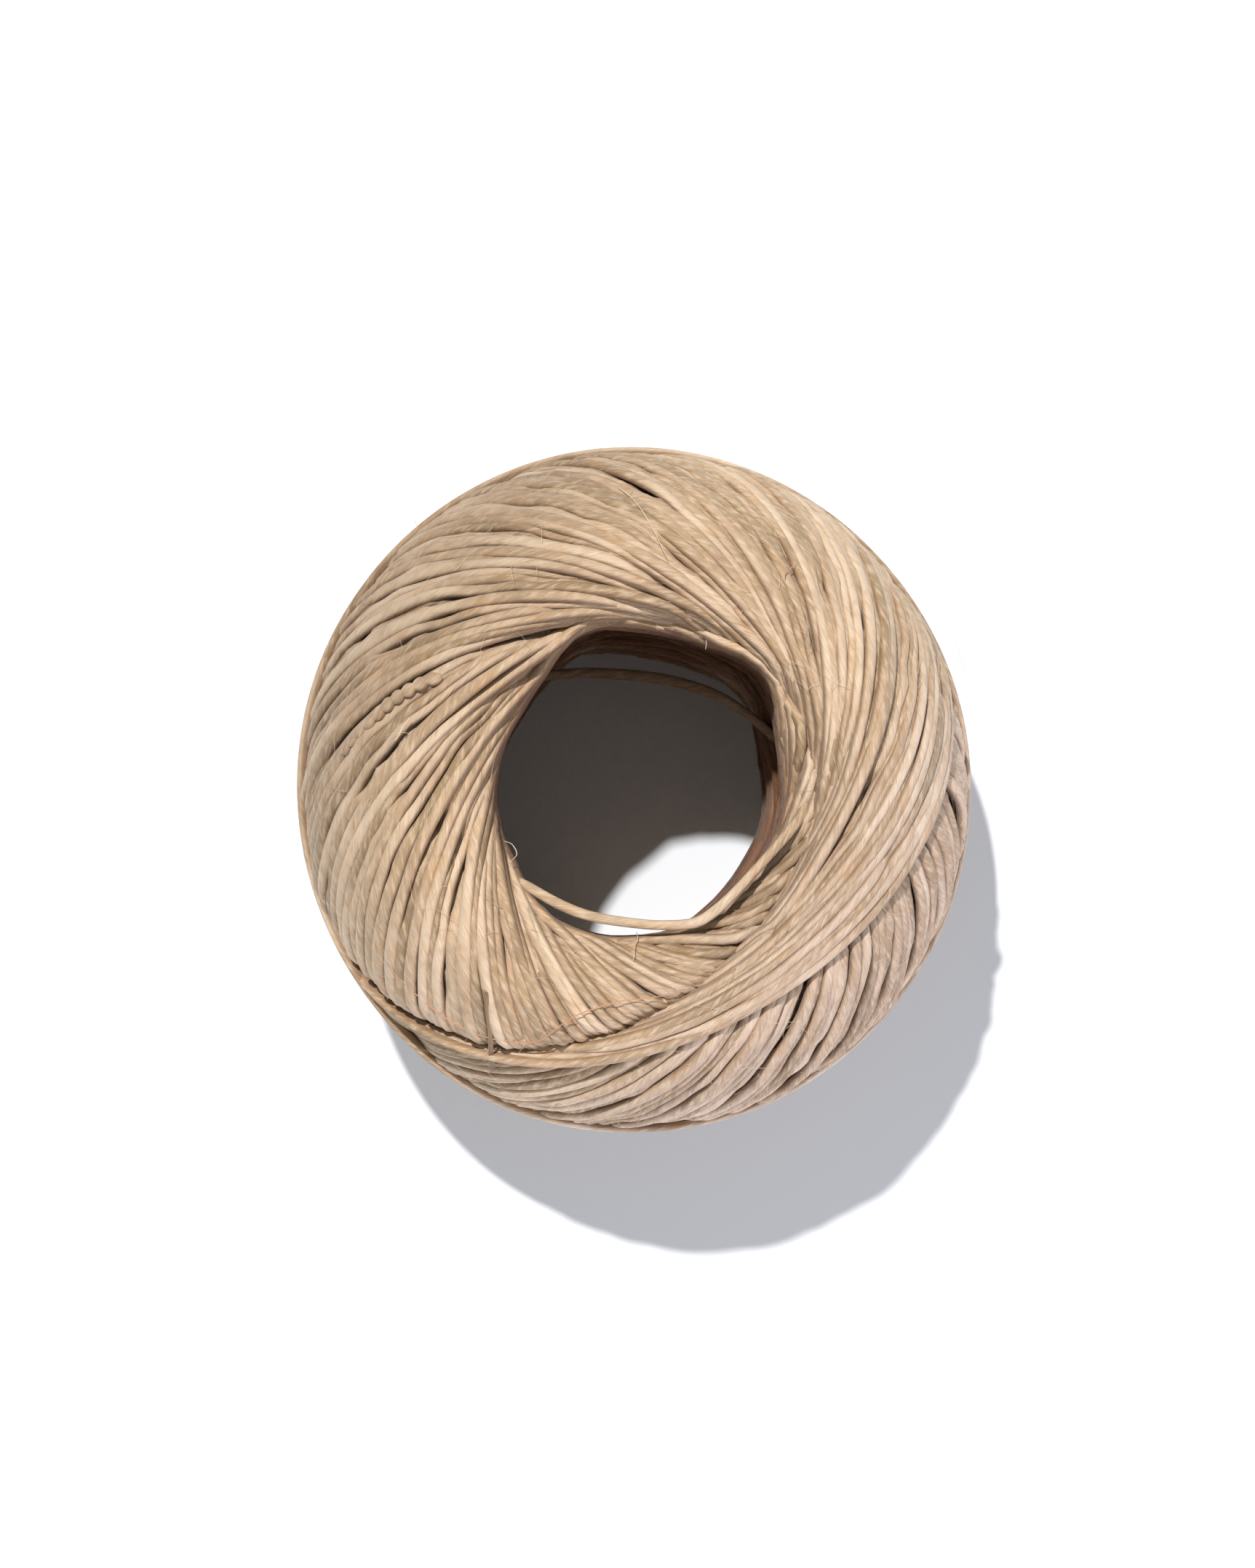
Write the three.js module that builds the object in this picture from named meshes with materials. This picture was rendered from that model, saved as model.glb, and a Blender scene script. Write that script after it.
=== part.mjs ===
// A ball of hemp twine with a hole through its middle, standing on a flattened ring round the hole.
// Millimetres, +Z up. The hole's axis is Z, the origin is on the surface below the ball's middle.
// The wound body carries its main twists: bundles of turns that spiral from the waist to the hole,
// and the raised belt of the last turns. Two slack turns of twine cross the hole.

import * as THREE from 'three';

// Size of the wound body
const WAIST_RADIUS = 39.9;
const DOME_HEIGHT = 38.2;
const HOLE_RADIUS = 17.6;
const HOLE_BELLY = 3.2;
const LIP_ROUNDING = 2.4;

// Towards the hole the top of the body falls away from the ellipsoid, by LIP_DROP at HOLE_RADIUS
const LIP_START_RADIUS = 32;
const LIP_DROP = 12;

// The hole is a rounded polygon, as the turns cross its edge as chords. Bearings in degrees.
const HOLE_EDGE = [
  { bearing: 8, radius: 17.6 },
  { bearing: 24, radius: 17.5 },
  { bearing: 42, radius: 19.1 },
  { bearing: 54, radius: 18.9 },
  { bearing: 64, radius: 17.5 },
  { bearing: 78, radius: 16.3 },
  { bearing: 92, radius: 16.6 },
  { bearing: 104, radius: 16.7 },
  { bearing: 120, radius: 16.3 },
  { bearing: 135, radius: 16.5 },
  { bearing: 150, radius: 17.0 },
  { bearing: 180, radius: 17.5 },
  { bearing: 192, radius: 18.0 },
  { bearing: 210, radius: 18.5 },
  { bearing: 224, radius: 18.1 },
  { bearing: 238, radius: 17.0 },
  { bearing: 262, radius: 17.0 },
  { bearing: 280, radius: 16.5 },
  { bearing: 304, radius: 16.0 },
  { bearing: 318, radius: 16.6 },
  { bearing: 330, radius: 18.0 },
  { bearing: 341, radius: 19.2 },
  { bearing: 354, radius: 18.2 },
];

// The flat ring that the ball stands on, cut off the dome below the waist
const FOOT_INNER_RADIUS = 19.2;
const FOOT_OUTER_RADIUS = 23.2;
const CENTRE_HEIGHT = DOME_HEIGHT * Math.sqrt(1 - (FOOT_OUTER_RADIUS / WAIST_RADIUS) ** 2);

// Winding: the turns lie in planes through the middle of the ball, tilted by WIND_TILT
const WIND_TILT = THREE.MathUtils.degToRad(56);
const BUNDLE_COUNT = 18;
const BUNDLE_DEPTH = 0.9;

// The belt of the last turns, laid over the others on a shallower plane
const BELT_TILT = THREE.MathUtils.degToRad(45);
const BELT_HIGH_SIDE = THREE.MathUtils.degToRad(150);
const BELT_HALF_WIDTH = THREE.MathUtils.degToRad(6);
const BELT_FADE = THREE.MathUtils.degToRad(3);
const BELT_RISE = 0.5;

// Fineness of the body's surface
const ROUND_STEPS = 90;
const DOME_STEPS = 24;
const LIP_STEPS = 3;
const WALL_STEPS = 6;

// Twine
const TWINE_DIAMETER = 1.2;
const TWINE_SIDES = 8;
const TWINE_COLOUR = 0xcdb38d;
const SHADED_TWINE_COLOUR = 0x8c7152;
const TWINE_ROUGHNESS = 0.85;

// Routes of the slack turns, from one side of the hole to the other
const FAR_TURN_ROUTE = [
  { x: -12.4, y: 13.5, z: 25.6 },
  { x: -8.5, y: 14.0, z: 25.0 },
  { x: -5.5, y: 14.2, z: 24.7 },
  { x: -2.6, y: 14.1, z: 24.4 },
  { x: 0.5, y: 13.9, z: 24.1 },
  { x: 3.5, y: 13.5, z: 23.9 },
  { x: 6.6, y: 12.8, z: 23.8 },
  { x: 9.4, y: 11.9, z: 23.9 },
  { x: 11.7, y: 10.7, z: 24.1 },
  { x: 13.7, y: 9.3, z: 24.5 },
  { x: 16.4, y: 7.0, z: 25.2 },
];
const NEAR_TURN_ROUTE = [
  { x: -11.4, y: -12.2, z: 54.3 },
  { x: -9.2, y: -13.9, z: 54.7 },
  { x: -5.6, y: -15.2, z: 55.0 },
  { x: -0.4, y: -16.0, z: 55.2 },
  { x: 3.0, y: -16.15, z: 55.2 },
  { x: 5.9, y: -15.9, z: 55.2 },
  { x: 8.0, y: -14.7, z: 55.1 },
  { x: 10.0, y: -12.9, z: 55.1 },
  { x: 12.2, y: -10.6, z: 55.1 },
];
const ROUTE_STEPS = 20;

// How far the top of the body lies below the ellipsoid: it grows with the square of the way in
function lipDrop(radius) {
  const inward = (LIP_START_RADIUS - radius) / (LIP_START_RADIUS - HOLE_RADIUS);
  return LIP_DROP * THREE.MathUtils.clamp(inward, 0, 1) ** 2;
}

// Closed outline of the body in the plane of the axis, from the foot outwards, over the dome,
// across the lip and down the hole. twist tells how much of the bundles shows at each station.
function bodyOutline() {
  const stations = [];
  const footLatitude = -Math.acos(FOOT_OUTER_RADIUS / WAIST_RADIUS);
  const crownRadius = HOLE_RADIUS + LIP_ROUNDING;
  const crownLatitude = Math.acos(crownRadius / WAIST_RADIUS);
  stations.push({ radius: FOOT_INNER_RADIUS, height: 0, twist: 0 });
  for (let step = 0; step <= DOME_STEPS; step += 1) {
    const latitude = THREE.MathUtils.lerp(footLatitude, crownLatitude, step / DOME_STEPS);
    const radius = WAIST_RADIUS * Math.cos(latitude);
    const drop = latitude > 0 ? lipDrop(radius) : 0;
    const height = CENTRE_HEIGHT + DOME_HEIGHT * Math.sin(latitude) - drop;
    const onFoot = step === 0;
    stations.push({
      radius,
      height: onFoot ? 0 : height,
      twist: onFoot ? 0 : 1,
    });
  }
  const crownHeight = stations[stations.length - 1].height;
  for (let step = 1; step <= LIP_STEPS; step += 1) {
    const turn = (step / LIP_STEPS) * (Math.PI / 2);
    stations.push({
      radius: crownRadius - LIP_ROUNDING * Math.sin(turn),
      height: crownHeight - LIP_ROUNDING * (1 - Math.cos(turn)),
      twist: 0.6,
    });
  }
  const wallTop = crownHeight - LIP_ROUNDING;
  const wallFoot = FOOT_INNER_RADIUS - HOLE_RADIUS;
  for (let step = 1; step <= WALL_STEPS; step += 1) {
    const share = step / WALL_STEPS;
    stations.push({
      radius: HOLE_RADIUS + HOLE_BELLY * Math.sin(Math.PI * share),
      height: THREE.MathUtils.lerp(wallTop, wallFoot, share),
      twist: 0.3 * (1 - share),
    });
  }
  return stations;
}

// Distance from the axis to the hole's edge at a bearing, straight between the places in HOLE_EDGE
function holeEdge(bearing) {
  const places = HOLE_EDGE.length;
  const degrees = THREE.MathUtils.euclideanModulo(THREE.MathUtils.radToDeg(bearing) - HOLE_EDGE[0].bearing, 360);
  const turned = HOLE_EDGE.map((place) => THREE.MathUtils.euclideanModulo(place.bearing - HOLE_EDGE[0].bearing, 360));
  const before = turned.findLastIndex((turn) => turn <= degrees);
  const after = (before + 1) % places;
  const span = THREE.MathUtils.euclideanModulo(turned[after] - turned[before], 360);
  const share = (degrees - turned[before]) / span;
  return THREE.MathUtils.lerp(HOLE_EDGE[before].radius, HOLE_EDGE[after].radius, share);
}

// Height of the twine's surface over the plain body at one direction from the ball's middle.
// A bundle's line is the plane of its turns: its bearing runs on by bearingShift from its highest point.
function windingRise(bearing, latitude) {
  const reach = Math.tan(latitude) / Math.tan(WIND_TILT);
  const bearingShift = Math.acos(THREE.MathUtils.clamp(reach, -1, 1));
  const fromBelt = Math.abs(THREE.MathUtils.euclideanModulo(bearing - BELT_HIGH_SIDE + Math.PI, 2 * Math.PI) - Math.PI);
  const falling = fromBelt < bearingShift;
  const highPoint = falling ? bearing - bearingShift : bearing + bearingShift;
  const bundles = -BUNDLE_DEPTH * (0.5 - 0.5 * Math.cos(BUNDLE_COUNT * highPoint));
  const offBelt = Math.asin(
    Math.sin(latitude) * Math.cos(BELT_TILT) -
      Math.cos(latitude) * Math.sin(BELT_TILT) * Math.cos(bearing - BELT_HIGH_SIDE),
  );
  const belt = 1 - THREE.MathUtils.smoothstep(Math.abs(offBelt), BELT_HALF_WIDTH, BELT_HALF_WIDTH + BELT_FADE);
  return THREE.MathUtils.lerp(bundles, BELT_RISE, belt);
}

// The closed skin of the body: the outline carried round the axis, each ring joined to the next.
// A bearing is measured clockwise from +Y, as seen from above.
function bodyGeometry() {
  const outline = bodyOutline();
  const positions = [];
  for (let round = 0; round < ROUND_STEPS; round += 1) {
    const bearing = (round / ROUND_STEPS) * 2 * Math.PI;
    for (const { radius, height, twist } of outline) {
      const rise = height - CENTRE_HEIGHT;
      const latitude = Math.atan2(rise / DOME_HEIGHT, radius / WAIST_RADIUS);
      const outward = new THREE.Vector2(Math.cos(latitude) / WAIST_RADIUS, Math.sin(latitude) / DOME_HEIGHT);
      outward.normalize();
      const offset = twist * windingRise(bearing, latitude);
      const inHole = THREE.MathUtils.clamp((HOLE_RADIUS + LIP_ROUNDING - radius) / LIP_ROUNDING, 0, 1);
      const reach = radius + inHole * (holeEdge(bearing) - HOLE_RADIUS) + offset * outward.x;
      positions.push(reach * Math.sin(bearing), reach * Math.cos(bearing), height + offset * outward.y);
    }
  }
  const ringSize = outline.length;
  const indices = [];
  for (let round = 0; round < ROUND_STEPS; round += 1) {
    const nextRound = (round + 1) % ROUND_STEPS;
    for (let along = 0; along < ringSize; along += 1) {
      const nextAlong = (along + 1) % ringSize;
      const near = round * ringSize + along;
      const nearNext = round * ringSize + nextAlong;
      const far = nextRound * ringSize + along;
      const farNext = nextRound * ringSize + nextAlong;
      indices.push(near, nearNext, far, far, nearNext, farNext);
    }
  }
  const geometry = new THREE.BufferGeometry();
  geometry.setAttribute('position', new THREE.Float32BufferAttribute(positions, 3));
  geometry.setIndex(indices);
  geometry.computeVertexNormals();
  return geometry;
}

// A round section of twine carried along a smooth route
function twineGeometry(route) {
  const points = route.map(({ x, y, z }) => new THREE.Vector3(x, y, z));
  const curve = new THREE.CatmullRomCurve3(points);
  const section = new THREE.Shape();
  for (let side = 0; side < TWINE_SIDES; side += 1) {
    const turn = (side / TWINE_SIDES) * 2 * Math.PI;
    const across = (TWINE_DIAMETER / 2) * Math.cos(turn);
    const up = (TWINE_DIAMETER / 2) * Math.sin(turn);
    if (side === 0) {
      section.moveTo(across, up);
    } else {
      section.lineTo(across, up);
    }
  }
  section.closePath();
  return new THREE.ExtrudeGeometry(section, { steps: ROUTE_STEPS, extrudePath: curve, bevelEnabled: false });
}

function namedMesh(name, geometry, colour) {
  const material = new THREE.MeshStandardMaterial({ color: colour, roughness: TWINE_ROUGHNESS, metalness: 0 });
  const mesh = new THREE.Mesh(geometry, material);
  mesh.name = name;
  return mesh;
}

const ball = new THREE.Group();
ball.add(namedMesh('wound_body', bodyGeometry(), TWINE_COLOUR));
ball.add(namedMesh('slack_turn_far', twineGeometry(FAR_TURN_ROUTE), SHADED_TWINE_COLOUR));
ball.add(namedMesh('slack_turn_near', twineGeometry(NEAR_TURN_ROUTE), TWINE_COLOUR));

export default ball;
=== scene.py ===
"""A ball of hemp twine with a hole through it, seen from above.

The ball is wound turn by turn: every turn is a tilted loop round the ball, the loops step round the
axis, and each one is laid over what is already there. The file is laid out as a Blender add-on.
"""

import math

import bpy
import numpy as np
from mathutils import Matrix, Vector


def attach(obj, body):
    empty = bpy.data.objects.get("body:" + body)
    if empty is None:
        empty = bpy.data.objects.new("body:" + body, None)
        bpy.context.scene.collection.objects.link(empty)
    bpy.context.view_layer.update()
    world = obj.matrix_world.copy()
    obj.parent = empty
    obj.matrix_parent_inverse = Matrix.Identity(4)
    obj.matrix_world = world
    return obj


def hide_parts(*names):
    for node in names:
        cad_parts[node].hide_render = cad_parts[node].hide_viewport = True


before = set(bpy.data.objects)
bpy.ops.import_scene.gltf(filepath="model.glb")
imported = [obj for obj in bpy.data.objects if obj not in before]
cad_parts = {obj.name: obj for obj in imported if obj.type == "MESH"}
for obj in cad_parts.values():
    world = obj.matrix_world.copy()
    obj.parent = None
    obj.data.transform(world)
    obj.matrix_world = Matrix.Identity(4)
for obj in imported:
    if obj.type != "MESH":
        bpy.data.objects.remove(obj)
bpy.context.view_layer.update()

bl_info = {
    "name": "Ball of hemp twine",
    "version": (1, 0, 0),
    "blender": (4, 5, 0),
    "location": "View3D > Sidebar > Twine",
    "description": "Winds a ball of hemp twine turn by turn and dresses it as unbleached hemp",
    "category": "Object",
}

MM = 0.001
FULL_TURN = 2 * math.pi
# the way round a turn of twine, which the map's U runs through from the underside
GIRTH = 4.2 * MM
# by how much the fibres climb round the twine
FIBRE_SLANT = math.radians(22)
# how far apart the places lie where one turn after another takes up the material's pattern, and the
# length that they are spread over, in metres
PATTERN_STEP = 0.371
PATTERN_LENGTH = 4

# Where the twine was in the winding. back is how far the turn's highest point lies behind that of
# the last turn, in degrees round the axis, and reach is how close to the axis the turn passes, as a
# share of the ball's radius.
LAST_BEARING = math.radians(150)
# how uneven the steps between turns are, as a share of a step, with a limit on how far one strays,
# and how uneven their reach
STEP_JITTER = 0.22
STEP_LIMIT = 1.6
REACH_JITTER = 0.016
# the last turns are laid closer than the others, by this factor, and their reach is steadier: over
# so many degrees back its unevenness grows from this share to the whole
LAST_TURNS = 11
LAST_CLOSENESS = 0.6
STEADY_DEGREES = 20
STEADIEST = 0.25
# a turn is about as wide as the way to its neighbours, and this share of that is the larger way
LARGER_SHARE = 0.65
WINDING = (
    {"back": 0, "reach": 0.73},
    {"back": 5, "reach": 0.68},
    {"back": 10, "reach": 0.625},
    {"back": 16, "reach": 0.585},
    {"back": 30, "reach": 0.56},
    {"back": 90, "reach": 0.545},
    {"back": 145, "reach": 0.525},
    {"back": 172, "reach": 0.52},
    {"back": 190, "reach": 0.48},
    {"back": 206, "reach": 0.435},
    {"back": 230, "reach": 0.445},
    {"back": 280, "reach": 0.465},
    {"back": 320, "reach": 0.46},
    {"back": 345, "reach": 0.455},
    {"back": 375, "reach": 0.47},
    {"back": 480, "reach": 0.49},
    {"back": 500, "reach": 0.48},
    {"back": 518, "reach": 0.50},
    {"back": 530, "reach": 0.515},
    {"back": 545, "reach": 0.49},
    {"back": 562, "reach": 0.44},
    {"back": 575, "reach": 0.435},
    {"back": 600, "reach": 0.45},
    {"back": 760, "reach": 0.46},
)

# The hole is a rounded polygon, as the turns cross its edge as chords. Bearing in degrees clockwise
# from +Y, distance from the axis in millimetres, as in the frame.
HOLE_EDGE = (
    (8, 17.6), (24, 17.5), (42, 19.1), (54, 18.9), (64, 17.5), (78, 16.3), (92, 16.6), (104, 16.7),
    (120, 16.3), (135, 16.5), (150, 17.0), (180, 17.5), (192, 18.0), (210, 18.5), (224, 18.1),
    (238, 17.0), (262, 17.0), (280, 16.5), (304, 16.0), (318, 16.6), (330, 18.0), (341, 19.2),
    (354, 18.2),
)
HOLE_RADIUS = 17.5 * MM
# half the height of the hole's wall
HOLE_WALL_HALF = 23 * MM
# how far a turn's middle stays off the hole's edge, as a share of its width, and the widths over
# which the limits at the hole and at the floor ease in
EDGE_CLEARANCE = 0.3
HOLE_EASE = 0.3 * MM
FLOOR_EASE = 0.25 * MM

# The slack turns that cross the hole, in millimetres: the frame's solids, with both ends run on in
# among the wound turns
FAR_TURN_ROUTE = (
    (-16.6, 12.6, 26.4),
    (-14.6, 13.0, 26.0),
    (-12.4, 13.5, 25.6),
    (-8.5, 14.0, 25.0),
    (-5.5, 14.2, 24.7),
    (-2.6, 14.1, 24.4),
    (0.5, 13.9, 24.1),
    (3.5, 13.5, 23.9),
    (6.6, 12.8, 23.8),
    (9.4, 11.9, 23.9),
    (11.7, 10.7, 24.1),
    (13.7, 9.3, 24.5),
    (16.4, 7.0, 25.2),
    (18.4, 5.2, 25.8),
    (20.2, 3.4, 26.4),
)
NEAR_TURN_ROUTE = (
    (-16.0, -9.6, 46.0),
    (-14.6, -10.8, 50.6),
    (-12.9, -11.8, 53.2),
    (-9.2, -13.9, 54.7),
    (-5.6, -15.2, 55.0),
    (-0.4, -16.0, 55.2),
    (3.0, -16.15, 55.2),
    (5.9, -15.9, 55.2),
    (8.0, -14.7, 55.1),
    (10.0, -12.9, 55.1),
    (13.2, -9.5, 54.8),
    (15.8, -6.6, 54.4),
    (17.8, -4.2, 53.6),
    (19.6, -1.8, 52.0),
)

# Where the plies of a turn stand out like teeth beside a gap: its middle, in millimetres
SERRATED_ROUTE = (
    (-35.0, 2.7, 49.0),
    (-33.1, 4.8, 51.2),
    (-30.9, 6.9, 53.2),
    (-28.6, 9.0, 54.9),
    (-26.5, 10.4, 56.3),
    (-23.5, 12.2, 58.0),
)

# Loose fibres: where they run in millimetres, and how thick they are
PALE_FIBRES = (
    {"width": 0.09, "route": (
        (37.6, 18.6, 36), (38.3, 16.8, 36), (38.9, 14.9, 36), (39.2, 13.1, 36), (38.6, 10.6, 36),
    )},
    {"width": 0.08, "route": (
        (-26.3, 32.2, 36), (-25.8, 31.2, 36), (-25.4, 30, 36), (-24.7, 28.3, 36),
    )},
    {"width": 0.08, "route": (
        (-19.8, 32.9, 36), (-20.4, 33.9, 36), (-19.8, 34.7, 36), (-18.8, 34.4, 36),
    )},
    {"width": 0.12, "route": (
        (-15.6, -6.6, 56), (-14.7, -7, 57), (-14.2, -8.1, 57), (-15, -9, 56),
    )},
    {"width": 0.1, "route": (
        (7.6, 18.2, 54), (7.4, 16.8, 52.4), (7.4, 15.9, 52), (7.3, 15.3, 52),
    )},
    {"width": 0.1, "route": (
        (-1.1, -20.2, 60), (-0.9, -18.4, 59), (-0.5, -17.7, 58.6), (-0.6, -16.9, 58.2),
    )},
    {"width": 0.12, "route": (
        (-2.6, 34, 50.6), (-1.1, 32.5, 53.3), (0.1, 30.6, 56), (1.2, 28.4, 58.2), (2, 26.6, 59.6),
        (2.6, 25.3, 60.2),
    )},
    {"width": 0.15, "route": (
        (-28, 4.6, 57.4), (-27.5, 5.3, 58.3), (-27.1, 6.2, 58.7), (-26.3, 7.2, 58.6),
    )},
    {"width": 0.1, "route": (
        (-28.2, -17, 50.8), (-28.5, -18, 50.6), (-28.9, -19.3, 49), (-29.2, -20.6, 46.9),
    )},
)
BARK_FIBRES = (
    {"width": 0.16, "route": (
        (-31.6, -17.6, 45.6), (-30.8, -18.6, 46.4), (-29.2, -20.6, 47), (-27.7, -22.1, 47.5),
        (-24.6, -25, 48.3), (-22.2, -26.8, 48.9), (-19.3, -28.3, 49.9), (-16.9, -29.1, 50.9),
        (-13.6, -29.4, 52.9), (-11.8, -29.3, 54.1), (-10.1, -28.1, 56.3), (-8.1, -26.6, 58.5),
        (-5.7, -25.6, 60), (-2.7, -24.7, 61.1), (0.5, -24.4, 61.5), (2.6, -24, 61.7),
        (4.6, -23.4, 61.6),
    )},
    {"width": 0.12, "route": (
        (16, 23, 57.4), (16.1, 23.6, 57.9), (16.8, 24.3, 57), (17.5, 25, 56.3),
    )},
    {"width": 0.3, "route": (
        (-9.2, 37.6, 35), (-8.9, 38.4, 36), (-8.4, 39.1, 36), (-7.4, 39.7, 36),
    )},
    {"width": 0.3, "route": (
        (-9.6, 37.6, 35), (-9.6, 38.2, 36), (-9, 38.7, 36), (-8.2, 39, 36),
    )},
)
# A flat wisp of brown fibre that lies across the last turns
WISP_ROUTE = (
    (-18, -23.4, 56), (-17.8, -24.4, 55.8), (-17.6, -26.3, 54), (-17.3, -28.4, 51.7),
    (-17.2, -30.8, 48), (-17, -33.1, 43),
)

# The photograph's frame, in its pixels, and how large a millimetre is at the ball's waist
PHOTO_WIDTH = 1725
PHOTO_HEIGHT = 2156
PHOTO_PIXELS_PER_MM = 11.62
BALL_PIXEL_X = 872.4
BALL_PIXEL_Y = 1085.9


class BallSizes(bpy.types.PropertyGroup):
    """Sizes of the ball and its twine."""

    waist_radius: bpy.props.FloatProperty(
        name="Waist radius", description="Radius of the ball at its waist", default=39.15 * MM,
        unit="LENGTH")
    waist_stretch: bpy.props.FloatProperty(
        name="Waist stretch", description="How much longer the waist is in depth than in width",
        default=1.014)
    dome_height: bpy.props.FloatProperty(
        name="Dome height", description="Half height the ball would have without its hole and foot",
        default=38.2 * MM, unit="LENGTH")
    foot_radius: bpy.props.FloatProperty(
        name="Foot radius", description="Outer radius of the flattened ring that the ball stands on",
        default=23.2 * MM, unit="LENGTH")
    top_lip_radius: bpy.props.FloatProperty(
        name="Top lip radius",
        description="Distance from the axis where the top starts to round into the hole",
        default=32 * MM, unit="LENGTH")
    foot_lip_radius: bpy.props.FloatProperty(
        name="Foot lip radius",
        description="Distance from the axis where the underside starts to round into the hole",
        default=24.5 * MM, unit="LENGTH")
    lip_drop: bpy.props.FloatProperty(
        name="Lip drop", description="How far the hole's edge lies below the ellipsoid of the ball",
        default=12 * MM, unit="LENGTH")
    belly: bpy.props.FloatProperty(
        name="Belly", description="How much wider the hole is half way down than at its edges",
        default=3.2 * MM, unit="LENGTH")
    twine_width: bpy.props.FloatProperty(
        name="Twine width", description="Width of a laid turn", default=1.45 * MM, unit="LENGTH")
    twine_thickness: bpy.props.FloatProperty(
        name="Twine thickness", description="Thickness of a laid turn, slightly squeezed",
        default=1.25 * MM, unit="LENGTH")
    turn_step: bpy.props.FloatProperty(
        name="Turn step", description="How far each turn is laid round the axis from the one before",
        default=math.radians(2.6), subtype="ANGLE")
    seed: bpy.props.IntProperty(name="Seed", description="Start of the random draws", default=7)


class BallColours(bpy.types.PropertyGroup):
    """Colours of the hemp, as sRGB hex values."""

    pale: bpy.props.StringProperty(
        name="Pale hemp", description="Well retted, bleached fibre", default="#D7BDA2")
    tan: bpy.props.StringProperty(
        name="Tan hemp", description="The twine's usual colour", default="#B99B7D")
    olive: bpy.props.StringProperty(
        name="Olive hemp", description="Less retted, greener fibre", default="#9E8364")
    warm: bpy.props.StringProperty(
        name="Warm hemp", description="Stretches tinted orange by bark", default="#C4935F")
    bark: bpy.props.StringProperty(
        name="Bark", description="Flecks of bark left in the fibre", default="#A97C4E")
    # painted shade: the dark brown that each turn's flanks go to, standing in for the shade in the grooves
    # between turns
    groove_shade: bpy.props.StringProperty(
        name="Groove", description="Dusty twine in the grooves between turns", default="#765639")
    # painted shade: what the hemp is multiplied by deep in the hole, standing in for the shade there
    deep: bpy.props.StringProperty(
        name="Deep hemp", description="Tint of the twine on the wall of the hole", default="#B3937E")
    fuzz: bpy.props.StringProperty(
        name="Fuzz", description="Short loose fibres", default="#D8C3A6")
    bark_fibre: bpy.props.StringProperty(
        name="Bark fibre", description="Long reddish fibre", default="#C08A62")
    wisp: bpy.props.StringProperty(
        name="Wisp", description="Flat brown wisp", default="#8F7556")
    # heart and heart_shade: painted shade, dark brown because the twine inside the ball lies in shade
    heart: bpy.props.StringProperty(
        name="Heart", description="Twine deep inside the ball", default="#5A4632")
    heart_shade: bpy.props.StringProperty(
        name="Heart shade", description="Darker spots of the twine deep inside", default="#3A2C1E")


def linear(hex_colour):
    """Turns an sRGB hex value into a linear colour with alpha."""
    channels = [int(hex_colour[i:i + 2], 16) / 255 for i in (1, 3, 5)]
    decoded = [c / 12.92 if c <= 0.04045 else ((c + 0.055) / 1.055) ** 2.4 for c in channels]
    return (*decoded, 1.0)


def soft_above(value, floor, blend):
    """value kept above floor: far above it is value itself, and near it eases over a width of blend."""
    return floor + blend * np.logaddexp(0.0, (value - floor) / blend)


def soft_below(value, ceiling, blend):
    """value kept below ceiling, easing over a width of blend near it."""
    return ceiling - blend * np.logaddexp(0.0, (ceiling - value) / blend)


def gaussian(reach):
    """A bell curve of standard deviation reach, in samples, that sums to one."""
    half = int(math.ceil(3 * reach))
    bell = np.exp(-0.5 * (np.arange(-half, half + 1) / reach) ** 2)
    return bell / bell.sum()


def smooth(values, reach):
    """values along their last axis, each replaced by the bell-weighted mean of its neighbours."""
    bell = gaussian(reach)
    half = len(bell) // 2
    padded = np.pad(values, [(0, 0)] * (values.ndim - 1) + [(half, half)], mode="edge")
    return np.apply_along_axis(np.convolve, -1, padded, bell, "valid")


def wander(rng, count, reach):
    """A smooth random run of count numbers with unit spread, which changes over reach samples."""
    knots = int(count / reach) + 6
    drawn = rng.normal(size=knots)
    run = np.interp(np.linspace(1, knots - 2, count), np.arange(knots), drawn)
    run = smooth(run, reach / 2)
    return (run - run.mean()) / (run.std() + 1e-9)


def hole_edge(bearing):
    """Distance from the axis to the hole's edge at a bearing, linear between the rows of HOLE_EDGE."""
    places = np.array(HOLE_EDGE)
    return MM * np.interp(np.degrees(bearing), places[:, 0], places[:, 1], period=360)


def centre_height(sizes):
    """Height of the ball's middle: the foot ring lies on an ellipsoid of the waist and dome sizes."""
    return sizes.dome_height * math.sqrt(1 - (sizes.foot_radius / sizes.waist_radius) ** 2)


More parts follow.
